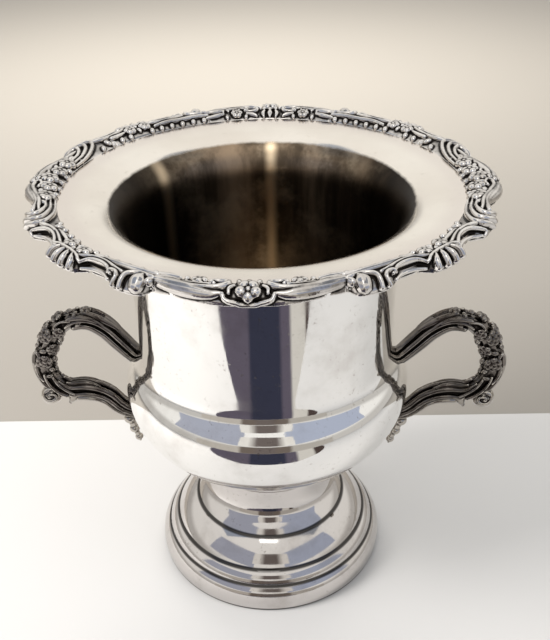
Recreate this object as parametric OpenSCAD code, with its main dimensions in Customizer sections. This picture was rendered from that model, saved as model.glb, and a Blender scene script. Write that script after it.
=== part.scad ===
// Footed champagne bucket: a spun bowl with a wide everted rim and a cast border,
// two cast loop handles and a stepped pedestal foot drawn up to the bowl by a stud and nut.
// Millimetres, +Z up, origin at the centre of the foot's resting face, handles along X.

/* [Bowl] */
// Largest outside radius of the bowl
bowl_r = 88.6; // [86:0.2:92]
// Height of the largest radius
belly_z = 135; // [130:1:140]
// Height of the flat bottom, outside
bowl_bottom_z = 86; // [84:0.5:88]
// Radius of the flat part of the bottom
bowl_flat_r = 30; // [26:1:34]
// Wall thickness of the spun sheet
wall = 1.2; // [1:0.1:1.8]
// Radius of the rounded shoulder above the belly
shoulder_r = 26; // [20:1:30]
// Steepest lean of the shoulder from upright, degrees
shoulder_lean = 40; // [35:1:45]
// Outside radius of the neck
neck_r = 77.8; // [74:0.2:79]

/* [Rim] */
// Height where the neck starts to turn out into the rim
lip_z = 236; // [230:1:240]
// Width of the turn, outside
lip_w = 19; // [17:0.2:23]
// Height of the turn, outside
lip_h = 23.8; // [20:0.2:26]
// Rise of the wide flat rim towards its edge, degrees
rim_rise = 8; // [5:0.5:10]
// Radius of the sheet's edge
rim_r = 122.5; // [121:0.5:123.5]

/* [Border] */
// Inner radius of the cast border
border_in_r = 112; // [110:0.5:114]
// Outer radius of the plain moulding, seen in the dips between the lobes
border_out_r = 124.4; // [124:0.1:125.5]
// Height of the moulding over the rim
border_h = 4.6; // [3.5:0.1:6]
// Depth that the moulding hangs down past the sheet's edge
border_drop = 4.6; // [3:0.1:6]
// Half the angle that a shell casting spans, degrees
shell_span = 20.5; // [20:0.5:21]
// Half the angle that a rose casting spans, degrees
rose_span = 34; // [33.5:0.5:34.5]

/* [Handles] */
// Half the width of the plain bars
bar_half_w = 5; // [4:0.1:6]
// Half the width of the flowered outer part
grip_half_w = 7; // [6:0.1:8]
// Radius of the ball at the outer corner
ball_r = 7.3; // [6:0.1:8]
// Radii of the three hanging beads, top to bottom
bead_r = [4.2, 3.5, 2.7];

/* [Foot] */
// Radius of the waist under the collar
waist_r = 38.5; // [36:0.5:40]
// Height of the foot's flat top
foot_top_z = 72.5; // [70:0.5:74]
// Radius of the hollow curve from the waist to the flare
flare_r = 19.8; // [18:0.2:21]
// Largest radius of the foot
foot_r = 76; // [75.5:0.1:77]
// Wall thickness of the foot
foot_wall = 1.2; // [1:0.1:1.6]
// Outside radius of the collar bead between foot and bowl
collar_r = 45; // [43:0.5:46]
// Inside radius of the collar
collar_in_r = 35; // [32:0.5:37]

/* [Fastening] */
// Radius of the threaded stud
stud_r = 4; // [3:0.5:5]
// Width of the nut across its flats
nut_af = 13; // [12:0.5:16]
// Height of the nut
nut_h = 6.5; // [5:0.5:8]
// Radius of the washer
washer_r = 12; // [10:0.5:14]
// Thickness of the washer
washer_h = 1.6; // [1.2:0.1:2]
// Radius of the boss soldered under the bowl
boss_r = 14; // [12:0.5:18]

/* [Hidden] */
$fn = 96;
silver = "gainsboro";
old_silver = "silver";
fillet_r = (bowl_r - neck_r) / (1 - cos(shoulder_lean)) - shoulder_r;
neck_z = belly_z + (shoulder_r + fillet_r) * sin(shoulder_lean);
lip_end = 97;
clearance = 0.05;
plate_h = 3;
plate_z = foot_top_z - foot_wall - plate_h;
ring_h = 5;
ring_w = 4;
// Corners of the foot's outline: the three grooves and the foot's edge
groove_high = [49.5, 39.8];
groove_mid = [64.1, 25.1];
groove_low = [70.5, 17.3];
foot_side_z = 6;
foot_edge_z = 0.8;
// Corners of the handle's centre line, in the plane of the handle: radius, height
handle_line = [[78, 144], [86, 152], [93, 160], [101, 168.8], [111, 174.8], [122, 174],
    [131, 168], [137.2, 158.3], [140.6, 147.5], [140.8, 136.5], [136.2, 127.3], [127.5, 121.8],
    [117.8, 121.8], [109, 120.3], [101.5, 116.2], [95, 109.3], [87, 104.8], [73, 105.5]];
// Half the thickness of the handle across its centre line, one for each corner
handle_half_h = [4.4, 4.8, 5.3, 5.4, 5.6, 6.6, 7.8, 8.4, 8.8, 8.6, 6.8, 6.2, 6.4, 6.2, 5.6, 5, 4.6, 4];
grip_first = 4;
grip_last = 10;
ball_at = [140, 116.5];
bead_at = [[89.4, 97.5], [86.8, 89], [84.2, 81.8]];

// Points of an elliptic arc about c from angle a0 to a1
function arc(c, rx, rz, a0, a1, n) =
    [for (i = [0:n]) let (a = a0 + (a1 - a0) * i / n) [c[0] + rx * cos(a), c[1] + rz * sin(a)]];

// Points of a round bulge from p to q that turns through the given angle, without p
function bulge(p, q, turn, n) =
    let (d = q - p, r = norm(d) / (2 * sin(turn / 2)), out = [-d[1], d[0]] / norm(d),
         c = (p + q) / 2 - out * r * cos(turn / 2), a = atan2(p[1] - c[1], p[0] - c[0]))
    [for (i = [1:n]) c + r * [cos(a - turn * i / n), sin(a - turn * i / n)]];

function reversed(list) = [for (i = [len(list) - 1:-1:0]) list[i]];

// Outline of the bowl from the centre of its bottom to the edge of the rim, t inside the metal
function bowl_line(t) = concat(
    [[0, bowl_bottom_z + t]],
    arc([bowl_flat_r, belly_z], bowl_r - bowl_flat_r - t, belly_z - bowl_bottom_z - t, -90, 0, 30),
    arc([bowl_r - shoulder_r, belly_z], shoulder_r - t, shoulder_r - t, 4, shoulder_lean, 9),
    arc([neck_r + fillet_r, neck_z], fillet_r + t, fillet_r + t, 180 + shoulder_lean - 4, 180, 9),
    arc([neck_r + lip_w, lip_z], lip_w + t, lip_h + t, 180, lip_end, 20),
    [[rim_r, rim_z(rim_r, t)]]);

// Height of the wide rim at radius r, t above its underside
function rim_z(r, t) =
    lip_z + (lip_h + t) * sin(lip_end)
    + (r - neck_r - lip_w - (lip_w + t) * cos(lip_end)) * tan(rim_rise);

// Smooth curve through a list of points: the point at step k, fraction f
function spline(p, k, f) =
    let (n = len(p) - 1, a = p[max(k - 1, 0)], b = p[k], c = p[min(k + 1, n)], d = p[min(k + 2, n)])
    0.5 * (2 * b + (c - a) * f + (2 * a - 5 * b + 4 * c - d) * pow(f, 2)
        + (3 * b - a - 3 * c + d) * pow(f, 3));

function spline_points(p, steps) =
    concat([for (k = [0:len(p) - 2]) for (i = [0:steps - 1]) spline(p, k, i / steps)], [p[len(p) - 1]]);

module bowl_shell() {
    color(silver)
    rotate_extrude()
        polygon(concat(bowl_line(0), reversed(bowl_line(wall))));
}

// Plain moulding of a border casting between two directions
module border_moulding(from, to) {
    inner_z = rim_z(border_in_r, wall);
    outer_z = rim_z(border_out_r, wall);
    rotate([0, 0, from])
    rotate_extrude(angle = to - from)
        polygon([
            [border_in_r, inner_z],
            [border_in_r + 0.8, inner_z + border_h * 0.5],
            [border_in_r + 3.5, inner_z + border_h * 0.85],
            [border_in_r + 6, inner_z + border_h * 0.75],
            [border_in_r + 9, outer_z + border_h],
            [border_out_r - 1, outer_z + border_h * 0.5],
            [border_out_r, outer_z - 1],
            [border_out_r - 0.5, outer_z - border_drop],
            [rim_r + clearance, outer_z - border_drop],
            [rim_r + clearance, rim_z(rim_r, wall)]]);
}

// Ball of radius r on the border, at radius at_r and a height over the rim's surface
module border_ball(angle, at_r, lift, r) {
    rotate([0, 0, angle])
    translate([at_r, 0, rim_z(at_r, wall) + lift])
        sphere(r = r, $fn = 32);
}

// Round roll along the border's edge: part of a ring of radius bend_r that bulges outwards
module border_roll(angle, at_r, bend_r, r, sweep) {
    rotate([0, 0, angle])
    translate([at_r - bend_r, 0, rim_z(at_r, wall) + 0.5])
    rotate([0, 0, -sweep / 2])
    rotate_extrude(angle = sweep)
        translate([bend_r, 0])
            circle(r = r, $fn = 32);
}

// Casting with a shell between two volutes, about direction 0
module shell_casting() {
    border_moulding(-shell_span, shell_span);
    border_ball(0, 125.4, 1, 4.2);
    border_ball(0, 120, 2.6, 3.6);
    for (side = [-1, 1]) {
        border_ball(side * 3.4, 124, 1.6, 3.6);
        border_ball(side * 7.6, 125.4, 0.5, 3.8);
        border_roll(side * 13.5, 125, 60, 3.2, 10);
    }
}

// Casting with a pair of balls, a dip and a fan of ribs, on the side that the sign gives
module scroll_casting(side) {
    first = shell_span;
    last = 90 - rose_span;
    border_moulding(min(side * first, side * last), max(side * first, side * last));
    for (at = [23.4, 29.2])
        border_ball(side * at, 126.4, 0.5, 4);
    border_ball(side * 26.2, 127.2, 0, 3.6);
    for (rib = [40.5:2.5:50.5])
        border_ball(side * rib, 126.8 + 0.8 * sin((rib - 40.5) * 18), 0.2, 3.8);
    for (at = [42, 47])
        border_ball(side * at, 117.5, 2, 3.2);
}

// Casting with a rose between two folds, about direction 0
module rose_casting() {
    border_moulding(-rose_span, rose_span);
    border_roll(0, 129, 24, 3.8, 48);
    border_ball(0, 118, 2.4, 3.8);
    for (side = [-1, 1]) {
        border_ball(side * 4.6, 117.6, 2, 3.4);
        border_roll(side * 24, 127.2, 12, 3.4, 80);
    }
}

module border_casting(kind, angle) {
    color(old_silver)
    rotate([0, 0, angle])
        if (kind == "shell") shell_casting();
        else if (kind == "rose") rose_casting();
        else scroll_casting(kind == "scroll" ? 1 : -1);
}

// One ring of the handle's skin: an oval about point p, square to the line's direction d
function handle_ring(p, d, half_h, half_w, sides) =
    [for (s = [0:sides - 1]) let (a = 360 * s / sides)
        [p[0] - d[1] * half_h * cos(a), half_w * sin(a), p[1] + d[0] * half_h * cos(a)]];

// Share of the grip's extra width at position u along the corners of the handle's line
function grip_share(u) = 0.5 - 0.5 * cos(360 * min(max((u - grip_first) / (grip_last - grip_first), 0), 1));

module handle_bar() {
    steps = 4;
    sides = 12;
    line = spline_points(handle_line, steps);
    half_h = spline_points(handle_half_h, steps);
    last = len(line) - 1;
    rings = [for (i = [0:last])
        let (d = line[min(i + 1, last)] - line[max(i - 1, 0)])
        handle_ring(line[i], d / norm(d), half_h[i],
            bar_half_w + (grip_half_w - bar_half_w) * grip_share(i / steps), sides)];
    polyhedron(
        points = [for (ring = rings) for (p = ring) p],
        faces = concat(
            [[for (s = [sides - 1:-1:0]) s]],
            [[for (s = [0:sides - 1]) last * sides + s]],
            [for (i = [0:last - 1]) for (s = [0:sides - 1]) for (half = [0, 1])
                let (a = i * sides + s, b = i * sides + (s + 1) % sides)
                half == 0 ? [a, b + sides, a + sides] : [a, b, b + sides]]));
}

module handle(turn) {
    color(old_silver)
    rotate([0, 0, turn])
    difference() {
        union() {
            handle_bar();
            translate([ball_at[0], 0, ball_at[1]])
                sphere(r = ball_r, $fn = 32);
            for (i = [0:2])
                translate([bead_at[i][0], 0, bead_at[i][1]])
                    sphere(r = bead_r[i], $fn = 32);
            translate([bead_at[0][0], 0, bead_at[0][1]])
                cylinder(h = 7, r = 2.6, $fn = 24);
            translate([bead_at[2][0], 0, bead_at[2][1]])
            rotate([0, 18, 0])
                cylinder(h = 16, r = 1.6, $fn = 24);
        }
        rotate_extrude()
            polygon(concat(bowl_line(0), [[0, lip_z + lip_h]]));
    }
}

module stem_collar() {
    bead_h = 5;
    bead_z = foot_top_z + bead_h / 2;
    color(silver)
    rotate_extrude()
        polygon(concat(
            [[collar_in_r, foot_top_z], [collar_r - bead_h / 2, foot_top_z]],
            arc([collar_r - bead_h / 2, bead_z], bead_h / 2, bead_h / 2, -75, 90, 12),
            arc([collar_r - bead_h / 2, bead_z + bead_h], 3.5, bead_h / 2, -90, -180, 6),
            [for (p = reversed(bowl_line(0))) if (p[0] >= collar_in_r && p[0] < 41 && p[1] < belly_z) p]));
}

// Outline of the foot from the outer edge of its top down to its edge
function foot_line() = concat(
    [[waist_r, foot_top_z]],
    arc([waist_r + flare_r, groove_high[1] + 19.9], flare_r, flare_r, 180, 225, 12),
    bulge([waist_r + flare_r * (1 - cos(45)), groove_high[1] + 19.9 - flare_r * sin(45)], groove_high, 10, 3),
    bulge(groove_high, groove_mid, 28, 10),
    bulge(groove_mid, groove_low, 42, 8),
    bulge(groove_low, [foot_r, foot_side_z], 54, 10),
    [[foot_r - 0.6, foot_edge_z]]);

module foot_shell() {
    hole_r = stud_r + 0.3;
    color(silver)
    rotate_extrude()
        polygon(concat(
            [[hole_r, foot_top_z]],
            foot_line(),
            [for (p = reversed(foot_line())) [p[0] - foot_wall, max(p[1] - foot_wall, foot_edge_z)]],
            [[hole_r, foot_top_z - foot_wall]]));
}

module foot_ring() {
    outer_r = foot_r - 0.6 - foot_wall - clearance;
    color(silver)
    rotate_extrude()
        polygon([
            [outer_r - ring_w, 0],
            [outer_r - 0.8, 0],
            [outer_r, 0.8],
            [outer_r, ring_h],
            [outer_r - ring_w, ring_h]]);
}

module bowl_boss() {
    depth = 12;
    color("goldenrod")
    difference() {
        translate([0, 0, foot_top_z])
            cylinder(h = bowl_bottom_z - foot_top_z, r = boss_r);
        translate([0, 0, foot_top_z - 1])
            cylinder(h = depth + 1, r = stud_r);
    }
}

module foot_plate() {
    color("goldenrod")
    translate([0, 0, plate_z])
    difference() {
        cylinder(h = plate_h, r = waist_r - foot_wall - 0.5);
        translate([0, 0, -1])
            cylinder(h = plate_h + 2, r = stud_r + 0.3);
    }
}

module foot_stud() {
    top_z = foot_top_z + 11.5;
    color("goldenrod")
    translate([0, 0, plate_z - washer_h - nut_h - 4])
        cylinder(h = top_z - (plate_z - washer_h - nut_h - 4), r = stud_r - clearance);
}

module foot_washer() {
    color("goldenrod")
    translate([0, 0, plate_z - washer_h])
    difference() {
        cylinder(h = washer_h, r = washer_r);
        translate([0, 0, -1])
            cylinder(h = washer_h + 2, r = stud_r + 0.3);
    }
}

module foot_nut() {
    color("goldenrod")
    translate([0, 0, plate_z - washer_h - nut_h])
    difference() {
        cylinder(h = nut_h, r = nut_af / 2 / cos(30), $fn = 6);
        translate([0, 0, -1])
            cylinder(h = nut_h + 2, r = stud_r);
    }
}

bowl_shell();
border_casting("shell", -90);  // border_shell_front
border_casting("shell", 90);  // border_shell_back
border_casting("rose", 0);  // border_rose_right
border_casting("rose", 180);  // border_rose_left
border_casting("scroll", -90);  // border_scroll_front_right
border_casting("mirrored scroll", 90);  // border_scroll_back_right
border_casting("scroll", 90);  // border_scroll_back_left
border_casting("mirrored scroll", -90);  // border_scroll_front_left
handle(0);  // handle_right
handle(180);  // handle_left
stem_collar();
foot_shell();
foot_ring();
bowl_boss();
foot_plate();
foot_stud();
foot_washer();
foot_nut();
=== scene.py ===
"""Silver champagne bucket with a cast border, two cast handles and a spun foot."""

import math

import bpy
import numpy as np
from mathutils import Matrix, Vector


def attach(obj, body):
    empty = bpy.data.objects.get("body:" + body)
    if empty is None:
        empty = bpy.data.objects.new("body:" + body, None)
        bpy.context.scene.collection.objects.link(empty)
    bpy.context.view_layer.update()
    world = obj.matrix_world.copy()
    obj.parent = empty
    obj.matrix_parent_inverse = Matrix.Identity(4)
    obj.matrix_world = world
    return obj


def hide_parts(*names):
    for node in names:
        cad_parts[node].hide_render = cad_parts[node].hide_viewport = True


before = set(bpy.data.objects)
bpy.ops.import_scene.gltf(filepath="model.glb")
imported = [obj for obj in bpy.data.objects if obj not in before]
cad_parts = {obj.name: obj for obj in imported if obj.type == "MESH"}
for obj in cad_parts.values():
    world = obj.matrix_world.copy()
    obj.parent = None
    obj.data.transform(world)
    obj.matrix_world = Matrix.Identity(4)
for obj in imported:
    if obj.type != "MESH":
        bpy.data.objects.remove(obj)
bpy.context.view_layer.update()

MM = 0.001
SEGMENTS = 192
CEILING_Z = 1.7


# ---- camera and studio

def link(thing):
    bpy.context.scene.collection.objects.link(thing)


def make_camera():
    azimuth = math.radians(92.8)
    pitch = math.radians(-31.95)
    roll = math.radians(-1.31)
    level = Vector((math.cos(azimuth), math.sin(azimuth), 0))
    forward = level * math.cos(pitch) + Vector((0, 0, math.sin(pitch)))
    side = level.cross(Vector((0, 0, 1)))
    above = side.cross(forward)
    right = side * math.cos(roll) + above * math.sin(roll)
    up = above * math.cos(roll) - side * math.sin(roll)
    turn = Matrix((right, up, -forward)).transposed().to_4x4()
    data = bpy.data.cameras.new("camera")
    data.lens = 47.98
    data.sensor_width = 36
    data.shift_x = 0.0047
    camera = bpy.data.objects.new("camera", data)
    camera.matrix_world = Matrix.Translation((0.0256, -0.4436, 0.4515)) @ turn
    link(camera)
    bpy.context.scene.camera = camera


def principled(name, colour, metallic, roughness):
    material = bpy.data.materials.new(name)
    material.use_nodes = True
    shader = material.node_tree.nodes["Principled BSDF"]
    for key, value in (("Base Color", (*colour, 1)), ("Metallic", metallic), ("Roughness", roughness)):
        shader.inputs[key].default_value = value
    return material


def emissive(name, colour, strength):
    """A material that only gives off light."""
    material = bpy.data.materials.new(name)
    material.use_nodes = True
    tree = material.node_tree
    tree.nodes.clear()
    glow = tree.nodes.new("ShaderNodeEmission")
    glow.inputs["Color"].default_value = (*colour, 1)
    glow.inputs["Strength"].default_value = strength
    out = tree.nodes.new("ShaderNodeOutputMaterial")
    tree.links.new(glow.outputs[0], out.inputs["Surface"])
    return material


def stage_plane(name, corners, material):
    """A flat sheet of the studio through corners in metres."""
    mesh = bpy.data.meshes.new(name)
    mesh.from_pydata(corners, [], [range(len(corners))])
    mesh.materials.append(material)
    plane = bpy.data.objects.new(name, mesh)
    link(plane)
    return plane


def in_silver_only(card):
    """Hides a card from everything but reflections."""
    card.visible_camera = False
    card.visible_diffuse = False
    card.visible_shadow = False


def standing_card(name, first, last, low, high, material):
    corners = [(*first, low), (*last, low), (*last, high), (*first, high)]
    in_silver_only(stage_plane(name, corners, material))


def reflector(name, first, last, low, high, colour, strength=1):
    """A card that is seen only in the silver: it stands on the line from first to last."""
    standing_card(name, first, last, low, high, emissive(name, colour, strength))


def overhead(name, first, last, colour, strength=1):
    """A level card over the bucket that is seen only in the silver."""
    near, far = first[1], last[1]
    level = [first, (last[0], near), last, (first[0], far)]
    corners = [(*place, CEILING_Z) for place in level]
    in_silver_only(stage_plane(name, corners, emissive(name, colour, strength)))


def banded(name, fan, bands, soft=0.012):
    """Light in soft bands: along X, or where fan is set by direction from the bucket.

    Each band is (where it starts, colour), and it runs to the start of the next one.
    """
    p = Paint(emissive(name, (0, 0, 0), 1))
    across = p.axis("X")
    if fan:
        across = p.math("DIVIDE", across, p.times(p.axis("Y"), -1))
    first = bands[0][0]
    last = bands[-1][0]
    stops = [(0, bands[0][1])]
    for (_, before), (start, after) in zip(bands, bands[1:-1]):
        share = (start - first) / (last - first)
        stops += [(share - soft, before), (share + soft, after)]
    light = p.ramp(p.fit(across, first, last, kind="LINEAR"), stops)
    p.put(p.tree.nodes["Emission"].inputs["Color"], light)
    return p.material


def area_light(name, at, target, size, power, colour):
    data = bpy.data.lights.new(name, "AREA")
    data.shape = "RECTANGLE"
    data.size, data.size_y = size
    data.energy = power
    data.color = colour
    lamp = bpy.data.objects.new(name, data)
    aim = (Vector(target) - Vector(at)).to_track_quat("-Z", "Y").to_matrix().to_4x4()
    lamp.matrix_world = Matrix.Translation(at) @ aim
    lamp.visible_camera = False
    lamp.visible_glossy = False
    link(lamp)


def make_world():
    """Pale light from above that fades out below the horizon."""
    world = bpy.data.worlds.new("world")
    world.use_nodes = True
    p = Paint(world)
    split = p.node("ShaderNodeSeparateXYZ", {"Vector": p.coords.outputs["Generated"]})
    stops = [(0.12, (0.55, 0.53, 0.50)), (0.24, (0.88, 0.86, 0.82)), (1, (0.95, 0.93, 0.90))]
    p.put(p.tree.nodes["Background"].inputs["Color"], p.ramp(split.outputs["Z"], stops))
    bpy.context.scene.world = world


def make_studio():
    wide = 3
    wall_y = 0.124
    wall_turn = 0.037
    wall = [(-wide, wall_y - wide * wall_turn), (wide, wall_y + wide * wall_turn)]
    table = principled("table", (0.44, 0.44, 0.445), 0, 0.7)
    paper = principled("paper", (0.235, 0.222, 0.205), 0, 0.8)
    stage_plane("floor", [(-wide, -wide, 0), (wide, -wide, 0), (*wall[1], 0), (*wall[0], 0)], table)
    stage_plane("floor_behind", [(*wall[0], 0), (*wall[1], 0), (wide, wide, 0), (-wide, wide, 0)], paper)
    make_world()
    violet = (0.11, 0.095, 0.125)
    dark = (0.035, 0.037, 0.06)
    shade = (0.15, 0.125, 0.115)
    cream = (0.62, 0.59, 0.54)
    brown = (0.07, 0.05, 0.045)
    dim = (0.16, 0.13, 0.11)
    warm = (0.44, 0.41, 0.37)
    fan = banded("floor_fan", True, [(-0.82, violet), (-0.17, dark), (0.25, violet), (0.40, cream),
        (0.66, brown), (0.95, brown)])
    spread = [k / 12 for k in range(13)]
    left = [(-0.07 - 0.85 * t ** 0.75, -0.26 - t) for t in spread]
    right = [(0.10 + 0.95 * t ** 0.75, -0.26 - t) for t in spread]
    in_silver_only(stage_plane("floor_fan", [(*c, MM) for c in left + right[::-1]], fan))
    room = banded("room", False, [(-1.5, (0.50, 0.46, 0.41)), (-0.40, dim), (-0.14, shade), (0.18, dim),
        (0.44, warm), (1.5, warm)])
    standing_card("room", (-1.5, -1.3), (1.5, -1.3), 0, 0.36, room)
    reflector("pane_left", (-1.40, -0.55), (-0.42, -1.45), 0.42, 1.25, (0.40, 0.42, 0.50))
    reflector("pane_right", (0.42, -1.45), (1.47, -0.31), 0.42, 1.25, (0.42, 0.46, 0.57))
    pale = (0.80, 0.77, 0.72)
    middle = banded("camera_side", False, [(-0.2, pale), (-0.09, shade), (0.13, pale), (0.24, pale)], 0.08)
    standing_card("camera_side", (-0.2, -0.62), (0.24, -0.62), 0.26, 0.52, middle)
    area_light("key", (-0.9, -0.3, 0.9), (0, 0, 0.05), (0.5, 0.5), 22, (1.0, 0.96, 0.91))
    area_light("wash", (-0.15, 1.15, 0.8), (-0.15, 1.2, 0), (1.2, 0.6), 25, (1.0, 0.95, 0.86))
    area_light("fill", (1.2, -0.6, 1.4), (0, 0, 0.1), (0.8, 0.8), 7, (0.90, 0.95, 1.0))
    overhead("lamp", (-0.30, -1.0), (0.22, -0.45), (1.0, 0.98, 0.95), 2.6)
    overhead("grey_ceiling_left", (-1.5, -0.7), (-0.5, 0.5), (0.36, 0.40, 0.48))
    overhead("grey_ceiling_right", (0.6, -0.6), (1.5, 0.7), (0.30, 0.32, 0.36))
    reflector("window", (-1.42, -0.66), (-1.30, -0.80), 0.5, 1.1, (1.0, 0.98, 0.96), 4)
    bpy.context.scene.view_settings.view_transform = "Standard"


# ---- spun bodies (sizes in mm)

BOWL_R = 88.6
BELLY_Z = 135
BOWL_BOTTOM_Z = 86
BOWL_FLAT_R = 30
WALL = 1.2
SHOULDER_R = 26
SHOULDER_LEAN = math.radians(40)
NECK_R = 77.8
LIP_Z = 236
LIP_W = 19
LIP_H = 23.8
LIP_END = math.radians(97)
RIM_RISE = math.radians(8)
RIM_R = 122.5
FILLET_R = (BOWL_R - NECK_R) / (1 - math.cos(SHOULDER_LEAN)) - SHOULDER_R
NECK_Z = BELLY_Z + (SHOULDER_R + FILLET_R) * math.sin(SHOULDER_LEAN)
WAIST_R = 38.5
FOOT_TOP_Z = 72.5
FLARE_R = 19.8
FOOT_R = 76
FOOT_WALL = 1.2
FOOT_SIDE_Z = 6
FOOT_EDGE_Z = 0.8
GROOVES = [(49.5, 39.8), (64.1, 25.1), (70.5, 17.3)]
COLLAR_R = 45
COLLAR_IN_R = 35
COLLAR_BEAD_H = 5


def arc(centre, rx, rz, first, last, n):
    """Points of an elliptic arc, angles in radians."""
    angles = np.linspace(first, last, n + 1)
    return [(centre[0] + rx * math.cos(a), centre[1] + rz * math.sin(a)) for a in angles]


def bulge(p, q, turn, n):
    """Points of a round bulge from p to q that turns through the given degrees, without p."""
    p = np.array(p, float)
    q = np.array(q, float)
    half = math.radians(turn) / 2
    d = q - p
    length = np.linalg.norm(d)
    radius = length / (2 * math.sin(half))
    out = np.array((-d[1], d[0])) / length
    centre = (p + q) / 2 - out * radius * math.cos(half)
    start = math.atan2(p[1] - centre[1], p[0] - centre[0])
    angles = [start - 2 * half * i / n for i in range(1, n + 1)]
    return [tuple(centre + radius * np.array((math.cos(a), math.sin(a)))) for a in angles]


def rim_z(r, t):
    """Height of the wide rim at radius r, t above its underside."""
    start_r = NECK_R + LIP_W + (LIP_W + t) * math.cos(LIP_END)
    return LIP_Z + (LIP_H + t) * math.sin(LIP_END) + (r - start_r) * math.tan(RIM_RISE)


def bowl_line(t):
    """Outline of the bowl from the centre of its bottom to the rim's edge, t inside the metal."""
    right = math.pi / 2
    lean = SHOULDER_LEAN
    shoulder = (BOWL_R - SHOULDER_R, BELLY_Z)
    fillet = (NECK_R + FILLET_R, NECK_Z)
    bottom = arc((BOWL_FLAT_R, BELLY_Z), BOWL_R - BOWL_FLAT_R - t, BELLY_Z - BOWL_BOTTOM_Z - t,
                 -right, 0, 48)
    bend = arc(shoulder, SHOULDER_R - t, SHOULDER_R - t, 0, lean, 14)
    hollow = arc(fillet, FILLET_R + t, FILLET_R + t, math.pi + lean, math.pi, 14)
    lip = arc((NECK_R + LIP_W, LIP_Z), LIP_W + t, LIP_H + t, math.pi, LIP_END, 30)
    neck = [(NECK_R - t, NECK_Z + (LIP_Z - NECK_Z) * k / 12) for k in range(1, 12)]
    rim_start = lip[-1][0]
    rim = [(r, rim_z(r, t)) for r in np.linspace(rim_start, RIM_R, 10)[1:]]
    flat = [(BOWL_FLAT_R * k / 6, BOWL_BOTTOM_Z + t) for k in range(6)]
    return flat + bottom + bend[1:] + hollow[1:] + neck + lip + rim


def foot_line():
    """Outline of the foot from the outer edge of its top down to its edge."""
    top = (WAIST_R + FLARE_R, GROOVES[0][1] + 19.9)
    flare = arc(top, FLARE_R, FLARE_R, math.pi, math.pi * 1.25, 24)
    waist = [(WAIST_R, FOOT_TOP_Z), (WAIST_R, (FOOT_TOP_Z + top[1]) / 2)]
    return (waist + flare
            + bulge(flare[-1], GROOVES[0], 10, 6)
            + bulge(GROOVES[0], GROOVES[1], 28, 16)
            + bulge(GROOVES[1], GROOVES[2], 42, 14)
            + bulge(GROOVES[2], (FOOT_R, FOOT_SIDE_Z), 54, 18)
            + [(FOOT_R - 0.6, FOOT_EDGE_Z)])


def add_object(name, mesh, node):
    """Puts a finished mesh into the scene in place of the CAD node it stands for."""
    piece = bpy.data.objects.new(name, mesh)
    link(piece)
    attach(piece, "root")
    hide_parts(node)


def spin(name, outline, sharp):
    """Closed surface of revolution of an outline in mm. A first or last point at radius 0 is a pole."""
    verts = []
    rings = []
    for r, z in outline:
        if r == 0:
            rings.append([len(verts)])
            verts.append((0, 0, z * MM))
            continue
        rings.append(list(range(len(verts), len(verts) + SEGMENTS)))
        for k in range(SEGMENTS):
            a = 2 * math.pi * k / SEGMENTS
            verts.append((r * math.cos(a) * MM, r * math.sin(a) * MM, z * MM))
    pairs = list(zip(rings, rings[1:]))
    if len(rings[0]) > 1:
        pairs.append((rings[-1], rings[0]))
    faces = []
    strips = []
    for strip, (low, high) in enumerate(pairs):
        for k in range(SEGMENTS):
            n = (k + 1) % SEGMENTS
            if len(low) == 1:
                faces.append((low[0], high[n], high[k]))
            elif len(high) == 1:
                faces.append((low[k], low[n], high[0]))
            else:
                faces.append((low[k], low[n], high[n], high[k]))
            strips.append(strip)
    mesh = bpy.data.meshes.new(name)
    mesh.from_pydata(verts, [], faces)
    mesh.polygons.foreach_set("use_smooth", [True] * len(faces))
    mesh.set_sharp_from_angle(angle=math.radians(sharp))
    mesh.update()
    return mesh, strips


def make_bowl(outside, inside):
    outer = bowl_line(0)
    inner = bowl_line(WALL)[::-1]
    mesh, strips = spin("bowl", outer + inner, 35)
    mesh.materials.append(outside)
    mesh.materials.append(inside)
    first_inner = len(outer) - 1
    mesh.polygons.foreach_set("material_index", [int(s >= first_inner) for s in strips])
    add_object("bowl", mesh, "bowl_shell")


def make_foot(finish):
    line = foot_line()
    hole_r = 4.3
    inner = [(r - FOOT_WALL, max(z - FOOT_WALL, FOOT_EDGE_Z)) for r, z in line[::-1]]
    outline = [(hole_r, FOOT_TOP_Z), (20, FOOT_TOP_Z)] + line + inner
    outline.append((hole_r, FOOT_TOP_Z - FOOT_WALL))
    mesh, _ = spin("foot", outline[::-1], 30)
    mesh.materials.append(finish)
    add_object("foot", mesh, "foot_shell")


def make_collar(finish):
    h = COLLAR_BEAD_H
    mid_z = FOOT_TOP_Z + h / 2
    bead_r = COLLAR_R - h / 2
    under = [(COLLAR_IN_R, FOOT_TOP_Z), (bead_r, FOOT_TOP_Z)]
    bead = arc((bead_r, mid_z), h / 2, h / 2, math.radians(-75), math.pi / 2, 20)
    hollow = arc((bead_r, mid_z + h), 3.5, h / 2, -math.pi / 2, -math.pi, 12)
    seat = [p for p in bowl_line(0)[::-1] if COLLAR_IN_R <= p[0] < 41 and p[1] < BELLY_Z]
    mesh, _ = spin("collar", under + bead + hollow + seat, 40)
    mesh.materials.append(finish)
    add_object("collar", mesh, "stem_collar")


# ---- modelling in clay (sizes in mm)

# the sides on which an ornament is modelled: 1 as given, -1 mirrored
BOTH = (1, -1)
ONE = (1,)
# mm of the grid that fuses each kind of casting, and the rounds of smoothing that find its recesses
BORDER_VOXEL = 0.4
HANDLE_VOXEL = 0.36
RECESS_ROUNDS = 14


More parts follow.
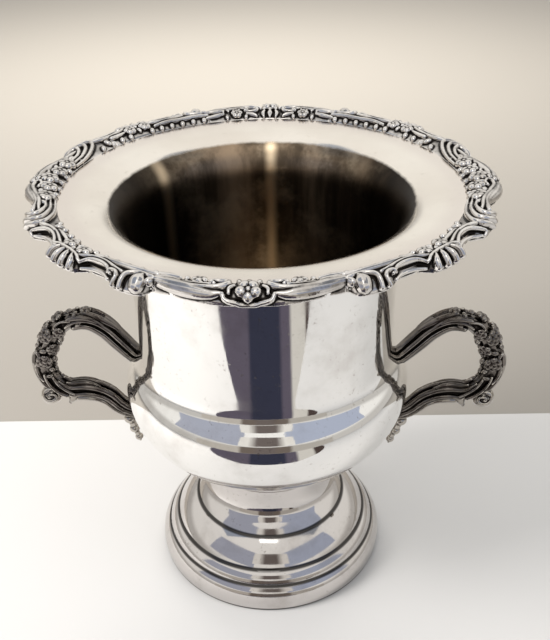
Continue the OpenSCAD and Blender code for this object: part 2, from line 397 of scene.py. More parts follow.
def smooth_rows(rows, steps):
    """Catmull-Rom curve through rows of numbers, with that many steps between two rows."""
    rows = np.array(rows, float)
    rows = np.vstack((rows[:1], rows, rows[-1:]))
    f = (np.arange(steps) / steps)[:, None]
    parts = []
    for k in range(1, len(rows) - 2):
        a, b, c, d = rows[k - 1:k + 3]
        parts.append(0.5 * (2 * b + (c - a) * f + (2 * a - 5 * b + 4 * c - d) * f ** 2
                            + (3 * b - a - 3 * c + d) * f ** 3))
    return np.vstack(parts + [rows[-2:-1]])


def vertex_places(mesh):
    places = np.zeros(len(mesh.vertices) * 3)
    mesh.vertices.foreach_get("co", places)
    return places.reshape(-1, 3)


def edge_ends(mesh):
    ends = np.zeros(len(mesh.edges) * 2, int)
    mesh.edges.foreach_get("vertices", ends)
    return ends.reshape(-1, 2)


def unit(v):
    return v / np.maximum(np.linalg.norm(v, axis=-1, keepdims=True), 1e-9)


class Clay:
    """Closed lumps that are pressed together and then fused into one casting."""

    def __init__(self, centre=0):
        self.centre = centre
        self.verts = []
        self.faces = []

    def angle(self, given, side):
        """An angle on the border as given, or mirrored about the casting's centre."""
        return self.centre + side * (given - self.centre)

    def rings(self, rings):
        """A closed skin over rings of equal size, with flat ends."""
        count = len(rings)
        sides = len(rings[0])
        base = len(self.verts)
        self.verts.extend(np.asarray(rings).reshape(-1, 3))
        self.faces.append([base + s for s in range(sides)][::-1])
        self.faces.append([base + (count - 1) * sides + s for s in range(sides)])
        for i in range(count - 1):
            for s in range(sides):
                a = base + i * sides + s
                b = base + i * sides + (s + 1) % sides
                self.faces.append([a, b, b + sides, a + sides])

    def tube(self, centres, normals, half_w, half_h, sides=10):
        """A strand with round ends: half_w along the surface and half_h along its normal."""
        along = unit(np.gradient(centres, axis=0))
        round_off = ((0.95, 0.25), (0.6, 0.8), (0.25, 0.97))
        out = np.array([o for o, _ in round_off])[:, None]
        shrink = np.array([k for _, k in round_off])
        taper = np.concatenate((shrink, np.ones(len(centres)), shrink[::-1]))
        centres = np.vstack((centres[0] - along[0] * half_w[0] * out, centres,
                             centres[-1] + along[-1] * half_w[-1] * out[::-1]))

        def with_ends(rows):
            ends = len(round_off)
            return np.concatenate((rows[:1].repeat(ends, 0), rows, rows[-1:].repeat(ends, 0)))

        half_w = with_ends(half_w) * taper
        half_h = with_ends(half_h) * taper
        along = with_ends(along)
        normals = with_ends(normals)
        across = unit(np.cross(normals, along))
        up = np.cross(along, across)
        a = np.linspace(0, 2 * math.pi, sides, endpoint=False)
        w = (half_w[:, None] * np.cos(a))[:, :, None]
        h = (half_h[:, None] * np.sin(a))[:, :, None]
        self.rings(centres[:, None] + across[:, None] * w + up[:, None] * h)

    def lump(self, centre, axes, sides=10):
        """An ellipsoid with three half axes."""
        x, y, z = [np.asarray(v, float) for v in axes]
        rows = []
        for lat in np.linspace(-0.48, 0.48, 9) * math.pi:
            a = np.linspace(0, 2 * math.pi, sides, endpoint=False)[:, None]
            rows.append(np.asarray(centre) + z * math.sin(lat)
                        + (x * np.cos(a) + y * np.sin(a)) * math.cos(lat))
        self.rings(rows)

    def leaf(self, place, normal, long, length, width):
        """A flat lump that points along long."""
        short = unit(np.cross(normal, long))
        self.lump(place, (long * length / 2, short * width / 2, normal * width * 0.42))

    def cast(self, name, voxel):
        """The fused and smoothed mesh, in metres, with a recess value on each vertex."""
        rough = bpy.data.meshes.new("clay")
        rough.from_pydata([tuple(v) for v in self.verts], [], self.faces)
        lump = bpy.data.objects.new("clay", rough)
        link(lump)
        fuse = lump.modifiers.new("fuse", "REMESH")
        fuse.mode = "VOXEL"
        fuse.voxel_size = voxel
        graph = bpy.context.evaluated_depsgraph_get()
        mesh = bpy.data.meshes.new_from_object(lump.evaluated_get(graph))
        bpy.data.objects.remove(lump)
        bpy.data.meshes.remove(rough)
        mesh.name = name
        edges = edge_ends(mesh)
        co = relax(vertex_places(mesh), edges, 1)
        mesh.vertices.foreach_set("co", (co * MM).ravel())
        mesh.polygons.foreach_set("use_smooth", [True] * len(mesh.polygons))
        mesh.update()
        normals = np.zeros(len(mesh.vertices) * 3)
        mesh.vertices.foreach_get("normal", normals)
        away = relax(co, edges, RECESS_ROUNDS) - co
        depth = (away * normals.reshape(-1, 3)).sum(1)
        recess = mesh.attributes.new("recess", "FLOAT", "POINT")
        recess.data.foreach_set("value", np.clip(depth, -1, 1).astype(np.float32))
        return mesh


def relax(co, edges, rounds):
    """Moves each point halfway to its neighbours' middle, that many times."""
    count = len(co)
    ends = np.concatenate((edges[:, 0], edges[:, 1]))
    others = np.concatenate((edges[:, 1], edges[:, 0]))
    share = np.maximum(np.bincount(ends, minlength=count), 1)[:, None]
    for _ in range(rounds):
        near = np.stack([np.bincount(ends, co[others, k], count) for k in range(3)], 1) / share
        co = co * 0.5 + near * 0.5
    return co


# ---- cast border
# A place on the border is (angle from the middle of the front casting, number across). The number
# across is near the radius in mm: 110.5 at the inner edge, about 122 at the crest, 131.5 at the
# outer lower edge.

ACROSS = (110.5, 113, 118, 124, 128, 131, 131.5)
ACROSS_SHARE = (0, 0.14, 0.338, 0.55, 0.708, 0.893, 1)
# share across, radius, how much of a dip in the outline it follows, height
SECTION = smooth_rows([(0, 111.2, 0, 263.2), (0.14, 113.4, 0, 265.2), (0.338, 118, 0.05, 266.8),
    (0.55, 123.6, 0.35, 267.1), (0.708, 127.2, 0.75, 265.5), (0.893, 129.7, 1, 262.6),
    (1, 129.5, 1, 260.8)], 8)
# angle, outer radius: the outline of a quarter of the border, which the other quarters mirror
OUTLINE = smooth_rows([(-4, 129), (0, 128.4), (4, 129), (8, 128.4), (14, 126.2), (19, 123.4), (20.8, 123.6),
    (22, 129), (24, 130.4), (26.6, 130.4), (29, 129.8), (31, 127.4), (33, 124.8), (35.4, 123.8),
    (38, 124.8), (40, 127.6), (41.4, 130.2), (45.5, 131.2), (49.6, 130.4), (51.6, 127), (53.4, 124.6),
    (56, 123.8), (58.4, 125), (60.4, 128.6), (62, 130.6), (66, 131), (70, 130), (72.2, 127.8),
    (74.4, 124.6), (76.5, 123.8), (79, 126.6), (82, 129.8), (86, 131.6), (90, 132), (94, 131.6)], 8)
FULL_R = 131
# degrees from a casting's middle to its ends
SHELL_SPAN = 20.5
ROSE_SPAN = 34


def outline_r(angle):
    folded = np.abs((np.asarray(angle, float) + 90) % 180 - 90)
    return np.interp(folded, OUTLINE[:, 0], OUTLINE[:, 1])


def border_point(angle, share):
    """Points of the border's skin at angles in degrees and shares of the way across."""
    dip = FULL_R - outline_r(angle)
    r = np.interp(share, SECTION[:, 0], SECTION[:, 1])
    r = r - dip * np.interp(share, SECTION[:, 0], SECTION[:, 2])
    z = np.interp(share, SECTION[:, 0], SECTION[:, 3])
    a = np.radians(np.asarray(angle, float) - 90)
    return np.stack(np.broadcast_arrays(r * np.cos(a), r * np.sin(a), z), -1)


def border_place(angle, across, lift=0):
    """Points at places on the border with their outward normals."""
    share = np.interp(across, ACROSS, ACROSS_SHARE)
    around = border_point(angle + 0.4, share) - border_point(angle - 0.4, share)
    outward = border_point(angle, share + 0.03) - border_point(angle, share - 0.03)
    normal = unit(np.cross(outward, around))
    return border_point(angle, share) + normal * np.asarray(lift)[..., None], normal


def border_base(clay, first, last):
    """The plain moulding under the ornament, with a flat underside over the sheet's edge."""
    inset = 0.7
    rings = []
    for angle in np.linspace(first, last, int((last - first) * 2)):
        share = np.linspace(0, 1, 22)
        skin, normal = border_place(np.full(22, angle), np.interp(share, ACROSS_SHARE, ACROSS))
        skin = skin - normal * inset
        out_r = float(outline_r(angle))
        a = math.radians(angle - 90)
        under = [(out_r - 2, 260.2), (RIM_R + 0.2, 260.4), (RIM_R + 0.2, rim_z(RIM_R, WALL) - 0.1),
        (118, rim_z(118, WALL) - 0.3), (112, rim_z(112, WALL) - 0.3)]
        under = [(r * math.cos(a), r * math.sin(a), z) for r, z in under]
        rings.append(np.vstack((skin, under)))
    clay.rings(rings)


def strand(clay, rows, sides=BOTH):
    """A strand on the border through (angle, across, half width, half height), one on each side."""
    path = smooth_rows(rows, 5)
    for side in sides:
        place, normal = border_place(clay.angle(path[:, 0], side), path[:, 1])
        clay.tube(place, normal, path[:, 2], path[:, 3])


def bead(clay, angle, across, radius, lift, sides):
    for side in sides:
        place, normal = border_place(clay.angle(angle, side), across, lift)
        around = unit(np.cross(normal, (0, 0, 1.0)))
        other = np.cross(around, normal)
        clay.lump(place, (around * radius, other * radius, normal * radius))


def petal(clay, angle, across, turn, length, width, lift, sides=BOTH):
    """A petal with its middle at a place. Turn 0 points along the border, 90 outwards."""
    for side in sides:
        place, normal = border_place(clay.angle(angle, side), across, lift)
        around = unit(np.cross(np.array((0, 0, 1.0)), place * (1, 1, 0)))
        around = unit(around - normal * np.dot(around, normal)) * side
        out = unit(np.cross(around, normal)) * -side
        t = math.radians(turn)
        long = around * math.cos(t) + out * math.sin(t)
        clay.leaf(place, normal, long, length, width)


def flower(clay, angle, across, radius, petals, lift, sides=BOTH, plump=1.15):
    """A ring of petals about a button."""
    per_degree = 122 * math.pi / 180
    for k in range(petals):
        t = 360 * k / petals + 20
        da = math.cos(math.radians(t)) * radius * 0.62 / per_degree
        dr = math.sin(math.radians(t)) * radius * 0.62
        petal(clay, angle + da, across + dr, t, radius * plump, radius * plump * 0.9, lift + 0.4, sides)
    bead(clay, angle, across, radius * 0.28, lift + 1.1, sides)


def shell_casting(clay):
    """A flower in a cup between two volutes, with a long roll to each side."""
    flower(clay, 0, 125.8, 5, 5, 0.7, ONE, 1.2)
    strand(clay, [(-5.2, 127.4, 1, 1.8), (-4.6, 129.8, 1.3, 2.2), (-2.4, 131, 1.4, 2.1),
        (0, 131.2, 1.4, 2.1), (2.4, 131, 1.4, 2.1), (4.6, 129.8, 1.3, 2.2), (5.2, 127.4, 1, 1.8)], ONE)
    strand(clay, [(3.9, 127.4, 0.9, 1.6), (3.9, 124.6, 1.1, 1.8), (3, 122.2, 0.9, 1.5)])
    petal(clay, 1.7, 121.6, 70, 4.6, 2.6, 0.8)
    petal(clay, 0, 120.6, 90, 4.6, 2.6, 0.9, ONE)
    # long roll, and the volute at its end
    strand(clay, [(21.4, 127.2, 2.4, 1.8), (18, 127.4, 3.2, 2.5), (14, 127.8, 3.6, 2.8),
        (10, 128, 3.4, 2.6), (7.4, 128.2, 2.4, 2.2), (5.8, 127.6, 1.4, 1.8)])
    strand(clay, [(16, 124.4, 0.7, 1.5), (12.4, 124.8, 1, 2), (9, 125, 1.4, 2.3), (6.6, 124.4, 1.6, 2.4),
        (4.9, 122.4, 1.6, 2.4), (4.2, 119.8, 1.4, 2.2), (5, 117.6, 1.2, 2), (6.9, 117.2, 1.1, 1.9),
        (8.2, 118.8, 1.1, 1.9), (7.4, 120.6, 1, 1.8)])
    strand(clay, [(8.2, 121.6, 0.7, 1.6), (9.6, 122.9, 0.9, 1.8), (12, 122.8, 0.8, 1.7),
        (14, 122, 0.6, 1.4)])
    for k in range(4):
        petal(clay, 10.2 + 1.7 * k, 120.6 - 0.2 * k, 60 + 14 * k, 3.2 - 0.2 * k, 2 - 0.15 * k, 0.4)
    strand(clay, [(15, 121.6, 0.7, 1.3), (17, 121.6, 1.7, 1.9), (19.2, 122.2, 1.5, 1.8),
        (20.4, 123, 0.7, 1.2)])
    # inner edge
    strand(clay, [(0, 112.8, 0.9, 1), (0, 115.6, 1.8, 1.6), (0, 118.6, 1, 1.4)], ONE)
    strand(clay, [(2, 112.4, 0.7, 1), (2.3, 115.2, 1.4, 1.5), (1.8, 118.2, 0.9, 1.3)])
    strand(clay, [(4.4, 112.8, 0.7, 1), (5.6, 114.6, 1.5, 1.4), (7.6, 115.8, 1, 1.2)])
    flower(clay, 11, 116, 3.6, 5, -0.2)
    petal(clay, 8, 112.8, 80, 3.6, 2.6, 0)
    petal(clay, 14.4, 113, 100, 3.6, 2.6, 0)
    strand(clay, [(15.4, 116.8, 0.9, 1.2), (18, 115.4, 1.6, 1.6), (21.2, 114.4, 1, 1.2)])


def scroll_casting(clay):
    """A drop in a loop, a curl, a hollow scroll, a fan of scallops and a second hollow scroll."""
    strand(clay, [(23.4, 122.8, 2, 2), (23.5, 125.6, 3.8, 3.2), (23.4, 128.8, 3.6, 3.4)], ONE)
    strand(clay, [(20.8, 130, 1, 1.6), (20.6, 126, 1, 1.7), (21.4, 122.8, 1, 1.8), (23.6, 120.6, 1.1, 1.9),
        (25.8, 121.8, 1.2, 2), (27, 125, 1.3, 2.2), (27, 130.6, 1.4, 2.2)], ONE)
    strand(clay, [(28.9, 130.8, 1, 2), (28.7, 127, 1.1, 2.1), (29.6, 124.9, 1.1, 2.1),
        (31.2, 125.4, 1.1, 2), (31.6, 127.6, 0.9, 1.8)], ONE)
    # two hollows between ridges
    for first, last in ((30.8, 40.2), (50.8, 61.2)):
        span = last - first
        middle = (first + last) / 2
        strand(clay, [(first + 0.6, 130.6, 0.9, 1.2), (middle - span * 0.2, 130.4, 1.2, 1.5),
            (middle + span * 0.2, 130.4, 1.2, 1.5), (last - 0.6, 130.6, 0.9, 1.2)], ONE)
        strand(clay, [(first, 127.2, 0.9, 1.6), (first + span * 0.2, 124.8, 1.1, 2),
            (middle, 123.9, 1.2, 2.1), (last - span * 0.2, 124.9, 1.1, 2), (last, 127.6, 0.9, 1.6)], ONE)
        strand(clay, [(first - 2.4, 123.2, 0.8, 1.4), (first + span * 0.1, 122.2, 1, 1.8),
            (middle, 120.8, 1, 1.9), (last - span * 0.1, 121.8, 1, 1.7),
            (last + 1.4, 123.6, 0.7, 1.3)], ONE)
    # fan of scallops on the outer half, with two sprigs inside it
    for k in range(4):
        outer = 41.7 + 2.6 * k
        inner = 43 + 1.8 * k
        strand(clay, [(inner, 124.4, 0.9, 1.6), (outer * 0.8 + inner * 0.2, 127.6, 1.7, 2.6),
            (outer, 130.6, 1.8, 2.5)], ONE)
    strand(clay, [(40.2, 127.8, 0.9, 1.7), (41.4, 124.8, 1, 1.9), (44, 123.2, 1, 1.9), (47, 123.1, 1, 1.9),
        (49.8, 124.4, 1, 1.9), (51.2, 127.2, 0.9, 1.7)], ONE)
    flower(clay, 42.4, 119, 3.8, 5, 0.1, ONE)
    flower(clay, 48, 118.8, 3.8, 5, 0.1, ONE)
    petal(clay, 45.2, 116.4, 90, 4.6, 2.6, 0.3, ONE)
    petal(clay, 45.2, 121.2, 90, 3.6, 2.2, 0.6, ONE)
    strand(clay, [(20.8, 117.6, 1, 1.3), (25, 117.4, 1.6, 1.9), (30, 116.8, 1.6, 1.9),
        (35, 117.4, 1.6, 1.9), (39.4, 116.4, 1, 1.4)], ONE)
    for at in (22.4, 26.2, 30, 33.8, 37.6, 41.2, 49.6, 53.2):
        petal(clay, at, 113.2, 72, 4.4, 3.4, -0.2, ONE)
    strand(clay, [(50.6, 118.4, 0.9, 1.3), (53.4, 117.6, 1.4, 1.7), (56, 117.8, 1.4, 1.7)], ONE)


def rose_casting(clay):
    """A fold of ridges on each side, then a roll with a curled end, and flowers in the middle."""
    strand(clay, [(56, 124.1, 1.1, 2), (58.6, 125, 1.1, 2), (60.6, 127.4, 1, 1.8), (61.7, 129.2, 1.1, 1.9),
        (61, 130.9, 0.9, 1.6)])
    strand(clay, [(56, 121.2, 1, 1.9), (59, 121.9, 1, 1.8), (61.8, 123.8, 0.8, 1.5)])
    strand(clay, [(56, 130.4, 1.2, 1.5), (59, 130.5, 1, 1.3)])
    ridges = [
        [(77, 112.8), (72, 112.9), (67.6, 114.8), (64.2, 118.2), (62.6, 122), (63, 125.6), (64.6, 128.6),
         (65.8, 130.8)],
        [(76.4, 115.3), (72, 115.5), (68.6, 117.4), (66.2, 120.2), (65.2, 123.2), (65.8, 126.2),
         (67.4, 128.8), (68.6, 130.6)],
        [(75.4, 117.9), (72.2, 118.2), (70, 119.9), (68.6, 122), (68, 124.4), (68.8, 126.8),
         (70.2, 128.8), (71.4, 130.2)]]
    for path in ridges:
        wide = np.interp(np.arange(len(path)), (0, 2, len(path) - 2, len(path) - 1), (0.8, 1.3, 1.7, 1.4))
        strand(clay, [(a, r, w, w * 1.45) for (a, r), w in zip(path, wide)])
    for row in ((58.8, 115.4, 110, 5.4, 3.4, 0.3), (61.8, 113, 40, 4.6, 3.2, -0.1),
                (57.4, 113, 80, 4.2, 3, -0.1)):
        petal(clay, *row)
    # smooth roll with a ridge along its top that ends in a curl
    strand(clay, [(71.8, 127.2, 1.6, 1.4), (74, 127, 2.6, 2.2), (77.5, 127.2, 3.2, 2.7),
        (81.5, 128.2, 3.6, 2.9), (85.5, 128.8, 3.6, 2.8), (88.6, 129.4, 2.6, 2.2)])
    strand(clay, [(70.2, 121.8, 0.8, 1.5), (74, 122.8, 1.2, 2), (78, 123.6, 1.3, 2.2),
        (82, 124.8, 1.4, 2.3), (85.6, 126, 1.4, 2.4), (87.8, 125.4, 1.3, 2.3), (88, 123.2, 1.2, 2.1),
        (86.2, 122.2, 1.1, 2), (85, 123.2, 1, 1.8)])
    # flowers
    flower(clay, 78.6, 118, 5, 6, 0)
    flower(clay, 84.6, 117.2, 4.2, 5, 0.4)
    flower(clay, 90, 119.4, 4.8, 6, 0.4, ONE)
    flower(clay, 90, 126.4, 3.4, 5, 1, ONE)
    for row in ((74.6, 119.8, 150, 4.8, 2.8, 0.4), (82, 121.6, 20, 4.8, 2.8, 0.6),
                (87.2, 121, 60, 4.4, 2.6, 0.6), (73.6, 113.2, 100, 3.6, 2.6, -0.1),
                (81.6, 113, 70, 4.4, 3.2, -0.1), (85.6, 112.8, 80, 4.4, 3.2, -0.1)):
        petal(clay, *row)
    petal(clay, 90, 113.2, 90, 5, 3.4, 0, ONE)
    strand(clay, [(86.6, 131, 0.9, 1.6), (88.2, 131.3, 1.2, 1.9), (90, 131.4, 1.2, 1.9)])


def mirrored(mesh, name, flip_x, flip_y):
    """A copy of a mesh turned over in X, Y or both."""
    copy = mesh.copy()
    copy.name = name
    copy.transform(Matrix.Diagonal((-1 if flip_x else 1, -1 if flip_y else 1, 1, 1)))
    if flip_x != flip_y:
        copy.flip_normals()
    return copy


def make_border(finish):
    """Three castings modelled once, then eight pieces placed around the rim."""
    kinds = {}
    for kind, model, centre, first, last in (
            ("shell", shell_casting, 0, -SHELL_SPAN, SHELL_SPAN),
            ("scroll", scroll_casting, 0, SHELL_SPAN, 90 - ROSE_SPAN),
            ("rose", rose_casting, 90, 90 - ROSE_SPAN, 90 + ROSE_SPAN)):
        clay = Clay(centre)
        border_base(clay, first, last)
        model(clay)
        kinds[kind] = clay.cast(kind, BORDER_VOXEL)
        kinds[kind].materials.append(finish)
    for name in ("shell_front", "shell_back", "rose_right", "rose_left", "scroll_front_right",
                 "scroll_back_right", "scroll_back_left", "scroll_front_left"):
        kind = name.split("_")[0]
        mesh = mirrored(kinds[kind], name, "left" in name, "back" in name)
        add_object("border_casting_" + name, mesh, "border_" + name)


# ---- cast handles
# A place on a handle is (step along its line, degrees round it, lift). Step 0 is inside the upper arm's
# joint with the bowl and step 17 inside the lower one's. 0 degrees faces out of the loop, 180 into it.

# x, z, half height and half width of the bar at each step
HANDLE_LINE = [(78, 144, 4.4, 4.4), (86, 152, 4.8, 4.8), (93, 160, 5.2, 5), (101, 168.8, 5.3, 5.1),
    (111, 174.8, 5.4, 5.3), (122, 174, 6, 5.8), (131, 168, 6.6, 6.3), (137.2, 158.3, 6.8, 6.4),
    (140.6, 147.5, 6.6, 6.2), (140.8, 136.5, 6.4, 5.7), (136.2, 127.3, 6, 5.2), (127.5, 121.8, 5.6, 5),
    (117.8, 121.8, 5.8, 5), (109, 120.3, 5.6, 4.9), (101.5, 116.2, 5.2, 4.7), (95, 109.3, 4.8, 4.5),
    (87, 104.8, 4.4, 4.2), (73, 105.5, 4, 4)]
BALL_AT = (139.8, 117.2)
BALL_R = 7.2
BEADS = [(89.4, 97.5, 4.3), (86.8, 89, 3.5), (84.2, 81.8, 2.8)]
LINE_STEPS = 8
LAST_STEP = len(HANDLE_LINE) - 1
# how far the handles lean to one side as they were soldered on, and the height where they don't
LEAN = 0.05
LEAN_Z = 148
LINE = smooth_rows(HANDLE_LINE, LINE_STEPS)


def handle_place(step, degrees, lift=0.0):
    """Points on the handle's skin and their outward normals."""
    step = np.asarray(step, float)
    at = np.clip(step, 0, LAST_STEP) * LINE_STEPS
    rows = np.hstack((LINE, np.gradient(LINE[:, :2], axis=0)))
    x, z, half_h, half_w, ahead_x, ahead_z = (np.interp(at, np.arange(len(LINE)), row) for row in rows.T)
    along = unit(np.stack([ahead_x, ahead_z], -1))
    a = np.radians(degrees)
    out = np.stack([-along[..., 1], along[..., 0]], -1)
    up = np.cos(a) * half_h
    side = np.sin(a) * half_w
    place = np.stack([x + out[..., 0] * up, side, z + out[..., 1] * up], -1)
    nu = np.cos(a) / half_h
    ns = np.sin(a) / half_w
    normal = unit(np.stack([out[..., 0] * nu, ns, out[..., 1] * nu], -1))
    return place + normal * np.asarray(lift)[..., None], normal


def handle_frame(step, degrees, lift):
    """A point on the handle's skin, its normal, and the directions along the bar and across it."""
    place, normal = handle_place(step, degrees, lift)
    ahead, _ = handle_place(step + 0.05, degrees, lift)
    along = unit(ahead - place)
    return place, normal, along, unit(np.cross(normal, along))


def handle_base(clay):
    """The bar itself, with flat flanks that meet in edges."""
    inset = 1.5
    edges = (62, 118, 180, 242, 298)
    rings = []
    for step in np.linspace(0, LAST_STEP, 120):
        ring = []
        for degrees in range(0, 360, 15):
            place, normal = handle_place(step, float(degrees))
            edge = sum(math.exp(-((degrees - e) / 10) ** 2) for e in edges)
            ring.append(place - normal * (inset - 0.6 * edge))
        rings.append(ring)
    clay.rings(np.array(rings)[:, ::-1])


def cord(clay, rows, sides=BOTH):
    """A strand on the handle through (step, degrees, half width, half height, any lift), on each flank."""
    path = smooth_rows([(*row, 0) if len(row) == 4 else row for row in rows], 6)
    for side in sides:
        place, normal = handle_place(path[:, 0], side * path[:, 1], path[:, 4])
        clay.tube(place, normal, path[:, 2], path[:, 3])


def handle_petal(clay, step, degrees, turn, length, width, lift, sides=BOTH):
    for side in sides:
        place, normal, along, across = handle_frame(step, side * degrees, lift)
        t = math.radians(turn)
        long = along * math.cos(t) + across * side * math.sin(t)
        clay.leaf(place, normal, long, length, width)


def handle_flower(clay, step, degrees, radius, petals, lift, sides=BOTH):
    """A raised rose: an outer ring of petals and an inner ring of three."""
    for side in sides:
        centre, normal, along, across = handle_frame(step, side * degrees, lift)
        for ring, share in ((petals, 0.66), (3, 0.26)):
            for k in range(ring):
                t = 2 * math.pi * k / ring + 0.3 + share
                long = along * math.cos(t) + across * math.sin(t)
                short = np.cross(normal, long)
                at = centre + long * radius * share + normal * radius * 0.28 * (1 - share)
                size = radius * (0.42 + 0.1 * share)
                clay.lump(at, (long * size * 0.8, short * size, normal * size * 0.75))


def upper_arm(clay):
    """Ridges of the upper arm, the long leaf that lies on it and the curls at the crest."""
    cord(clay, [(0.4, 0, 3, 1.5), (2, 0, 3.4, 1.7), (3.2, 0, 2.8, 1.6)], ONE)
    cord(clay, [(0.4, 66, 1.2, 1.3), (2, 66, 1.4, 1.5), (3.4, 68, 1.3, 1.5), (4.6, 80, 1.1, 1.4),
        (5.3, 94, 0.8, 1.1)])
    cord(clay, [(0.4, 132, 3.4, 1.4), (2, 132, 3.8, 1.6), (3.6, 132, 3.6, 1.6), (4.8, 134, 2.6, 1.4)])
    cord(clay, [(2.3, 14, 0.8, 1.6), (2.9, 24, 1.8, 2.2), (3.6, 30, 2.2, 2.4), (4.3, 26, 1.5, 2.2)])
    cord(clay, [(3.1, 62, 0.6, 1.2), (3.7, 58, 1.6, 2), (4.3, 56, 1.9, 2.3), (5, 60, 1.3, 1.9)])
    handle_petal(clay, 4.5, 100, 30, 4.8, 2.6, 0.2)
    handle_flower(clay, 4.2, 0, 3.6, 5, 0.6, ONE)
    handle_petal(clay, 4.9, 0, 0, 5, 3.6, 0.6, ONE)
    handle_petal(clay, 4.6, 34, 60, 5, 3, 0.8)
    cord(clay, [(4.9, 70, 0.9, 1.5), (5.4, 56, 1, 2), (5.8, 66, 1, 2), (5.6, 84, 0.9, 1.5)])


def grip(clay):
    """Roses and leaves of the outer part, and the scroll that wraps it down to the ball."""
    handle_flower(clay, 5.5, 4, 4.6, 5, -0.2, ONE)
    for row in ((5.9, 104, 4.2, 5, -0.6), (6.5, 56, 5.2, 6, -0.3), (8.1, 92, 5.4, 6, -0.5),
                (7.1, 126, 4.4, 5, -0.7)):
        handle_flower(clay, *row)
    handle_petal(clay, 6.2, 24, 40, 5.6, 3.6, 0.3)
    handle_petal(clay, 6.9, 0, 90, 7, 3.6, 0.4, ONE)
    for row in ((7.3, 26, 150, 5.6, 3.4, 0.2), (7.4, 78, 120, 5.4, 3.2, 0), (6.5, 150, 30, 5, 3.2, -0.5),
                (8.0, 142, 150, 5, 3.2, -0.4), (8.8, 136, 40, 5, 3.2, -0.3), (9.2, 108, 70, 4.6, 2.8, 0)):
        handle_petal(clay, *row)
    for step in (6.6, 7.4, 8.2, 9):
        handle_petal(clay, step, 180, 0, 5.4, 3.4, -0.4, ONE)
    cord(clay, [(7.8, 66, 0.9, 1.6), (7.6, 44, 1.2, 2.1, 0.3), (8, 27, 1.4, 2.3, 0.4),
        (8.7, 24, 1.2, 2.1, 0.2), (9.2, 40, 1, 1.8)])
    cord(clay, [(8.2, 60, 0.8, 1.5), (8.4, 48, 0.9, 1.8, 0.2), (8.9, 46, 0.9, 1.8), (9.4, 60, 0.8, 1.5)])
    cord(clay, [(8, 0, 1.8, 1.4), (8.8, 0, 3.6, 2), (9.6, 0, 4.2, 2.2), (10.2, 0, 3.4, 2.4, -0.3),
        (10.8, 0, 2, 2, -1)], ONE)
    cord(clay, [(9, 84, 0.8, 1.5), (9.8, 76, 1, 1.9), (10.5, 64, 1, 1.9), (11, 48, 0.9, 1.5)])
    cord(clay, [(9.4, 118, 0.8, 1.4), (10.2, 112, 1.1, 1.8), (11, 100, 1.1, 1.8), (11.4, 84, 0.8, 1.4)])


def lower_arm(clay):
    """Smooth underside with a ledge above it, and ridges and a small leaf on top."""
    cord(clay, [(16.6, 0, 3, 1.4), (14.6, 0, 4, 2), (12.8, 0, 4.4, 2.4), (11.6, 0, 4.2, 2.6, 0.2)], ONE)
    cord(clay, [(16.6, 84, 1.3, 1.3), (14, 84, 1.5, 1.6), (12.2, 80, 1.6, 1.7), (11.2, 68, 1.2, 1.5)])
    cord(clay, [(16.6, 132, 1.8, 1.3), (14, 132, 2, 1.6), (12.4, 130, 1.9, 1.7), (11, 126, 1.4, 1.6),
        (10, 128, 0.8, 1.3)])
    cord(clay, [(16.6, 180, 1, 1.2), (15, 180, 1.1, 1.4), (13, 180, 1.2, 1.6), (11.6, 180, 1.5, 2),
        (10.2, 180, 0.9, 1.4)], ONE)
    cord(clay, [(10.6, 150, 0.7, 1.4), (11.4, 158, 1.6, 2.1), (12.3, 156, 1.8, 2.3), (13, 150, 0.7, 1.3)])


def rod(clay, rows, normal=(1.0, 0, 0)):
    """A strand through (x, y, z, half width, any half height that differs)."""
    rows = np.array(rows, float)
    clay.tube(rows[:, :3], np.tile(normal, (len(rows), 1)), rows[:, 3], rows[:, -1])


def handle_ball(clay):
    """The ball with a scroll coiled over it, and the pointed foot beside it."""
    bx, bz = BALL_AT
    axes = np.eye(3)
    clay.lump((bx, 0, bz), axes * BALL_R, 28)
    turn = np.radians(np.linspace(115, -395, 60))
    reach = np.linspace(6.2, 1, 60)
    for side in BOTH:
        dx = reach * np.cos(turn) - 0.8
        dz = reach * np.sin(turn) * 0.72 + 2
        dy = side * np.sqrt(np.maximum(BALL_R ** 2 - dx ** 2 - dz ** 2, 4))
        offset = np.stack([dx, dy, dz], 1)
        out = unit(offset)
        width = np.interp(reach, (1, 4, 6.2), (0.8, 0.9, 1.4))
        clay.tube(np.array((bx, 0, bz)) + out * (BALL_R + 0.1), out, width, np.full(60, 0.8))
    rod(clay, [(124.6, 0, 117.5, 4.4, 3.4), (126.4, 0, 114, 4, 2.8),
        (127.6, 0, 111.6, 2.6, 1.6)], (1.0, 0, 0.3))


def handle_beads(clay):
    """Leaf that spreads on the bowl under the lower arm, and three stacked beads with a point."""
    axes = np.eye(3)
    for side in BOTH:
        leaf = smooth_rows([(88, 0, 108, 1.8), (85, 3.4, 110, 1.7), (82.6, 6, 108.6, 1.5),
            (80, 8.4, 105.5, 1.3), (78, 10, 102.5, 0.8)], 5)
        leaf[:, 1] *= side
        rod(clay, leaf, (1.0, 0, 0.3))
    rod(clay, [(91, 0, 105, 3)] + [(x, 0, z, half) for (x, z, _), half in zip(BEADS, (2.8, 2.2, 1.6))])
    for x, z, r in BEADS:
        clay.lump((x, 0, z), axes * (r, r, r * 0.84), 20)
    x, z, r = BEADS[-1]
    rod(clay, [(x, 0, z - r * 0.5, 1.7), (x - 0.8, 0, z - r * 1.15, 0.7)])


